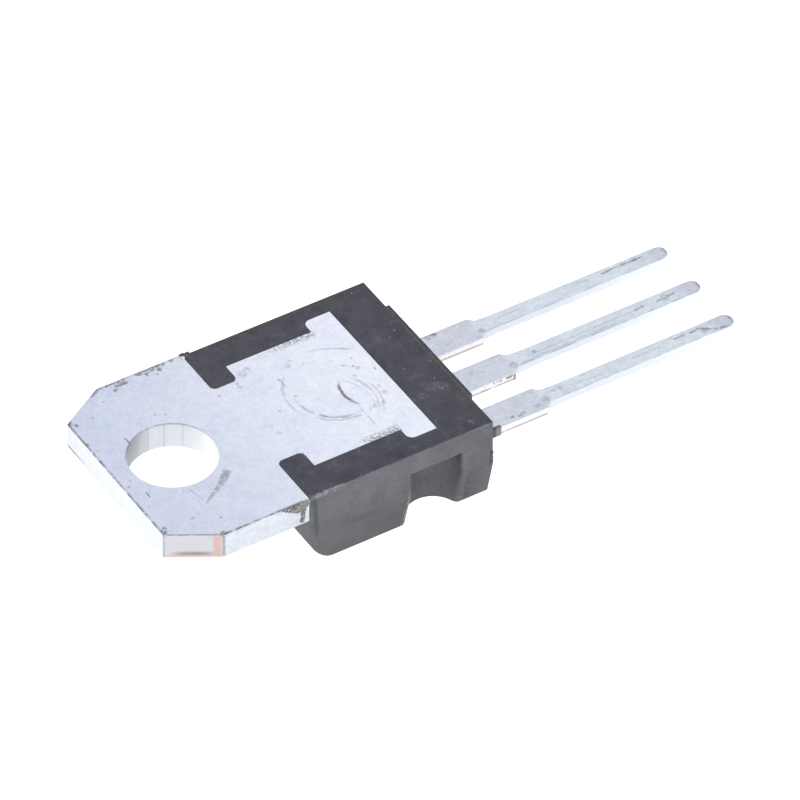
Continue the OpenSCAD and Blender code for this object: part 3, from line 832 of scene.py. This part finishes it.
class ThyristorResin(bpy.types.PropertyGroup):
    """The moulding compound"""

    back_colour: colour_property("Back", "Resin of the back face", (0.048, 0.047, 0.063))
    edge_colour: colour_property("Back edges", "Resin at its far and lead-end edges", (0.043, 0.043, 0.041))
    side_colour: colour_property("Sides", "Resin of the sides and the front", (0.073, 0.074, 0.083))
    edge_round: length_property("Edge rounding", "How far the lead end's upright corners are rounded", 0.05)


class ThyristorFlash(bpy.types.PropertyGroup):
    """Thin resin that was squeezed out of the mould"""

    film_thickness: length_property("Film thickness", "Thickness of the torn film", 0.035)
    film_colour: colour_property("Film", "Torn film of resin", (0.17, 0.165, 0.16))
    film_blotch: colour_property("Film blotches", "Darker blotches of the film", (0.06, 0.058, 0.06))


class ThyristorStage(bpy.types.PropertyGroup):
    """Camera, light and floor"""

    azimuth: angle_property("Azimuth", "Angle of the camera round the part", -32.67)
    elevation: angle_property("Elevation", "Angle of the camera above the horizon", 42.54)
    roll: angle_property("Roll", "Turn of the camera about its own axis", 0.957)
    distance: length_property("Distance", "From the camera to the point it aims at", 313.43)
    aim: bpy.props.FloatVectorProperty(
        name="Aim", description="Point that the camera aims at",
        unit="LENGTH", subtype="XYZ", size=3, default=(10.926 * MM, -0.155 * MM, -2.0 * MM),
    )
    lens: bpy.props.FloatProperty(
        name="Focal length", description="Focal length in millimetres on a 36 mm sensor",
        default=337.93, min=1.0,
    )
    floor_colour: colour_property("Floor", "Colour of the floor, which also glows", (0.34, 0.34, 0.34))


# ---- Operators ----


class THYRISTOR_OT_tin_header(bpy.types.Operator):
    """Rounds the header's stamped edges and gives it its worn tin plate"""

    bl_idname = "thyristor.tin_header"
    bl_label = "Tinned header"

    def execute(self, context):
        metal = context.scene.thyristor_metal
        piece = rounded_copy("header_with_anode_lead", "tinned_header", metal.edge_round)
        wear(piece, tinned_plate_finish(metal))
        return {"FINISHED"}


class THYRISTOR_OT_tin_leads(bpy.types.Operator):
    """Rounds the edges of the two outer leads and gives them their tin plate"""

    bl_idname = "thyristor.tin_leads"
    bl_label = "Outer leads"

    def execute(self, context):
        metal = context.scene.thyristor_metal
        # Solid, centre line across the part, and the marks on it
        leads = (
            ("cathode_lead", PITCH, CATHODE_SCRATCHES, CATHODE_LINES, CATHODE_SMUDGES),
            ("gate_lead", -PITCH, GATE_SCRATCHES, GATE_LINES, GATE_SMUDGES),
        )
        for node, *marks in leads:
            piece = rounded_copy(node, f"tinned_{node}", metal.edge_round)
            wear(piece, tinned_lead_finish(f"{node}_tin_plate", metal, *marks))
        return {"FINISHED"}


class THYRISTOR_OT_mould_body(bpy.types.Operator):
    """Rounds the moulding's corners at the lead end and gives it its resin"""

    bl_idname = "thyristor.mould_body"
    bl_label = "Moulding"

    def execute(self, context):
        resin = context.scene.thyristor_resin
        piece = rounded_copy("moulded_body", "rounded_moulding", resin.edge_round, self.is_lead_end_corner)
        wear(piece, resin_finish(resin))
        return {"FINISHED"}

    @staticmethod
    def is_lead_end_corner(edge):
        """True for a long sharp edge that stands at one of the two corners of the lead end."""
        first, second = (point.co * MM_PER_M for point in edge.verts)
        middle = (first + second) / 2
        upright = abs(first.z - second.z) > 0.4
        return is_sharp(edge, 40.0) and upright and middle.x > LEAD_END - 0.1 and abs(middle.y) > 4.0


def clamped(value):
    """The value, kept from 0 to 1."""
    return min(max(value, 0.0), 1.0)


class THYRISTOR_OT_tear_flash(bpy.types.Operator):
    """Models the thin resin beside the tab, at the parting line and over the tab's far corner"""

    bl_idname = "thyristor.tear_flash"
    bl_label = "Mould flash"

    # Edge of one cell of a sheet, and how far its points are shaken, in millimetres
    CELL = 0.03
    JITTER = 0.012

    def execute(self, context):
        flash = context.scene.thyristor_flash
        torn_resin = flash_finish("torn_resin", flash.film_colour, flash.film_blotch)
        cut_resin = flash_finish("cut_resin", CUT_RESIN, CUT_RESIN_BLOTCH)
        side = -HALF_WIDTH - 0.02
        # Name, upper left corner, size, whether it stands in the XZ plane, where it is torn away, and finish
        sheets = (
            ("torn_tab_film", (2.15, side, 0.01), (1.32, 1.25), True, self.off_tab_film, torn_resin),
            ("parting_line_fin", (LEAD_END - 0.1, side, -1.6), (0.26, 0.8), True, self.off_fin, cut_resin),
            (
                "far_corner_film", (TAB_END - 0.5, HALF_WIDTH + 0.06, 0.005), (0.85, 0.6), False,
                self.off_corner_film, cut_resin,
            ),
        )
        for *shape, finish in sheets:
            piece = self.sheet(flash.film_thickness, *shape)
            wear(piece, finish)
            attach(piece, BODY)
        return {"FINISHED"}

    @staticmethod
    def off_fin(u, v):
        """True where the fin at the parting line ends: u along the leads, v down the side, in mm."""
        return u > 0.12 + 0.06 * noise.noise(Vector((0.0, v * 7.0, 4.0)))

    @staticmethod
    def off_tab_film(u, v):
        """True where the film beside the tab has torn away: u along the tab, v down its side, in mm."""
        shake = 0.2 * noise.noise(Vector((u * 6.0, 0.0, 2.0)))
        depth = 0.16 + 0.38 * clamped((u - 0.05) / 0.5) + shake
        hole = noise.noise(Vector((u * 5.0, v * 5.0, 7.0))) > 0.32
        wobble = 0.05 * noise.noise(Vector((1.0, v * 5.0, 3.0)))
        flake = abs(u - 1.08 + 0.1 * v - wobble) < 0.11 - 0.05 * abs(v - 0.6) and v < 1.17
        gap = u > 1.22 and v > 0.3
        return gap or not (flake or (v < depth and not hole))

    @staticmethod
    def off_corner_film(u, v):
        """True where the film over the far corner has torn away: u along the tab, v in from its side."""
        shake = 0.04 * noise.noise(Vector((u * 9.0, v * 9.0, 1.0)))
        outer = 0.06 - 0.05 * clamped((u - 0.2) / 0.3) + 0.05 * clamped((u - 0.6) / 0.1)
        inner = 0.09 + shake + 1.5 * max(u - 0.38, 0.0)
        return v < outer + shake * 0.3 or v > inner or u < 0.05 + abs(shake)

    @staticmethod
    def hangs_by_a_corner(point):
        """True at a point that joins two flakes corner to corner, or belongs to no face."""
        return not point.link_faces or sum(edge.is_boundary for edge in point.link_edges) > 2

    def sheet(self, thickness, name, corner, size, upright, torn):
        """A ragged sheet of resin from its upper left corner, standing in the XZ plane or lying flat."""
        width, height = size
        columns, rows = (round(length / self.CELL) for length in size)
        bpy.ops.object.select_all(action="DESELECT")
        bpy.ops.mesh.primitive_grid_add(x_subdivisions=columns, y_subdivisions=rows, size=1.0)
        piece = bpy.context.object
        piece.name = piece.data.name = name
        bpy.ops.object.mode_set(mode="EDIT")
        bpy.ops.transform.translate(value=(0.5, -0.5, 0.0))
        bpy.ops.transform.resize(value=(width * MM, height * MM, 1.0), center_override=(0.0, 0.0, 0.0))
        select_where(piece, "VERT", lambda point: torn(point.co.x * MM_PER_M, -point.co.y * MM_PER_M))
        bpy.ops.mesh.delete(type="VERT")
        # A pass can leave new flakes that hang by a corner, so there are three
        for _ in range(3):
            select_where(piece, "VERT", self.hangs_by_a_corner)
            bpy.ops.mesh.delete(type="VERT")
        bpy.ops.mesh.select_all(action="SELECT")
        bpy.ops.transform.vertex_random(offset=self.JITTER * MM, uniform=1.0, normal=0.0, seed=3)
        bpy.ops.object.mode_set(mode="OBJECT")
        if upright:
            piece.rotation_euler.x = math.radians(90)
        piece.location = Vector(corner) * MM
        bpy.ops.object.transform_apply(location=True, rotation=True, scale=True)
        wall = piece.modifiers.new("wall", "SOLIDIFY")
        wall.thickness = thickness
        wall.offset = 0.0
        soft = piece.modifiers.new("soft", "SUBSURF")
        soft.levels = soft.render_levels = 1
        for modifier in ("wall", "soft"):
            bpy.ops.object.modifier_apply(modifier=modifier)
        bpy.ops.object.shade_smooth()
        return piece


class THYRISTOR_OT_finish_inside(bpy.types.Operator):
    """Gives the solder, the chip and the bond wires their finishes"""

    bl_idname = "thyristor.finish_inside"
    bl_label = "Chip, solder and wires"

    def execute(self, context):
        wires = ("cathode_wire_inner", "cathode_wire_outer", "gate_wire")
        # Name, colour and roughness of each metal, and the solids that wear it
        metals = (
            ("soft_solder", (0.42, 0.42, 0.44), 0.35, ("chip_solder",)),
            ("chip_metal", (0.55, 0.56, 0.60), 0.3, ("thyristor_chip",)),
            ("bond_aluminium", (0.80, 0.81, 0.82), 0.25, wires),
        )
        for *look, nodes in metals:
            material = plain_metal_finish(*look)
            for node in nodes:
                wear(NODES[node], material)
        return {"FINISHED"}


class THYRISTOR_OT_set_stage(bpy.types.Operator):
    """Lays the floor, hangs the light and sets the camera"""

    bl_idname = "thyristor.set_stage"
    bl_label = "Floor, light and camera"

    FLOOR_SIZE = 3.0
    FLOOR_GAP = 0.01 * MM  # keeps the floor clear of the moulding's front face
    FLOOR_CLOUD = (0.32, 0.32, 0.33)
    AIR_COLOUR = (0.97, 0.98, 1.0, 1.0)
    LAMP_PLACE = (-0.16, -0.34, 0.09)

    def execute(self, context):
        stage = context.scene.thyristor_stage
        self.lay_floor(stage)
        self.set_world(context.scene)
        self.hang_light(stage)
        self.set_camera(context.scene, stage)
        return {"FINISHED"}

    def lay_floor(self, stage):
        bpy.ops.object.select_all(action="DESELECT")
        level = CAD_BOX[0].z - self.FLOOR_GAP
        bpy.ops.mesh.primitive_plane_add(size=self.FLOOR_SIZE, location=(0.0, 0.0, level))
        floor = bpy.context.object
        floor.name = "studio_floor"
        finish = Finish("light_table", Roughness=0.9, Emission_Strength=1.04, Emission_Color=(1, 1, 1, 1))
        clouds = finish.noise(0.02) * 0.3
        # Clear from below, so that the part's front face can be seen
        below = finish.node("ShaderNodeNewGeometry").output("Backfacing")
        finish.feed(
            Base_Color=finish.mix(clouds, stage.floor_colour, self.FLOOR_CLOUD),
            Alpha=1.0 - below,
        )
        wear(floor, finish.material)

    def set_world(self, scene):
        world = bpy.data.worlds.new("studio_air")
        world.use_nodes = True
        background = world.node_tree.nodes["Background"]
        background.inputs["Color"].default_value = self.AIR_COLOUR
        background.inputs["Strength"].default_value = 1.15
        scene.world = world
        scene.view_settings.view_transform = "Standard"

    def hang_light(self, stage):
        place = Vector(self.LAMP_PLACE)
        bpy.ops.object.light_add(type="AREA", location=place)
        lamp = bpy.context.object
        lamp.name = "near_side_softbox"
        lamp.data.shape = "SQUARE"
        lamp.data.size = 0.30
        lamp.data.energy = 2.2
        # It lights the resin only: the metal would mirror it, glaring white as seen from the far side
        lamp.visible_glossy = False
        lamp.rotation_euler = (Vector(stage.aim) - place).to_track_quat("-Z", "Y").to_euler()

    def set_camera(self, scene, stage):
        back = Vector((
            math.sin(stage.azimuth) * math.cos(stage.elevation),
            -math.cos(stage.azimuth) * math.cos(stage.elevation),
            math.sin(stage.elevation),
        ))
        bpy.ops.object.camera_add(location=Vector(stage.aim) + back * stage.distance)
        camera = bpy.context.object
        camera.name = "studio_camera"
        camera.rotation_mode = "QUATERNION"
        turn = Matrix.Rotation(stage.roll, 3, "Z").to_quaternion()
        camera.rotation_quaternion = (-back).to_track_quat("-Z", "Y") @ turn
        camera.data.lens = stage.lens
        camera.data.sensor_width = 36.0
        camera.data.clip_start = 0.01
        camera.data.clip_end = 10.0
        scene.camera = camera


class THYRISTOR_PT_panel(bpy.types.Panel):
    """Lists the part's pieces, finishes and stage"""

    bl_idname = "THYRISTOR_PT_panel"
    bl_label = "Moulded thyristor"
    bl_space_type = "VIEW_3D"
    bl_region_type = "UI"
    bl_category = "Thyristor"

    def draw(self, context):
        for group in GROUPS:
            box = self.layout.box()
            values = getattr(context.scene, group)
            for name in values.__annotations__:
                box.prop(values, name)
        for operator in OPERATORS:
            self.layout.operator(operator.bl_idname)


GROUPS = {
    "thyristor_metal": ThyristorMetal,
    "thyristor_resin": ThyristorResin,
    "thyristor_flash": ThyristorFlash,
    "thyristor_stage": ThyristorStage,
}
OPERATORS = (
    THYRISTOR_OT_set_stage,
    THYRISTOR_OT_tin_header,
    THYRISTOR_OT_tin_leads,
    THYRISTOR_OT_mould_body,
    THYRISTOR_OT_tear_flash,
    THYRISTOR_OT_finish_inside,
)


def register():
    for cls in (*GROUPS.values(), *OPERATORS, THYRISTOR_PT_panel):
        bpy.utils.register_class(cls)
    for name, group in GROUPS.items():
        setattr(bpy.types.Scene, name, bpy.props.PointerProperty(type=group))


def unregister():
    for name in GROUPS:
        delattr(bpy.types.Scene, name)
    for cls in (THYRISTOR_PT_panel, *reversed(OPERATORS), *reversed(GROUPS.values())):
        bpy.utils.unregister_class(cls)


def main():
    """Makes everything."""
    register()
    bpy.ops.thyristor.set_stage()
    bpy.ops.thyristor.tin_header()
    bpy.ops.thyristor.tin_leads()
    bpy.ops.thyristor.mould_body()
    bpy.ops.thyristor.tear_flash()
    bpy.ops.thyristor.finish_inside()


if __name__ == "__main__":
    main()
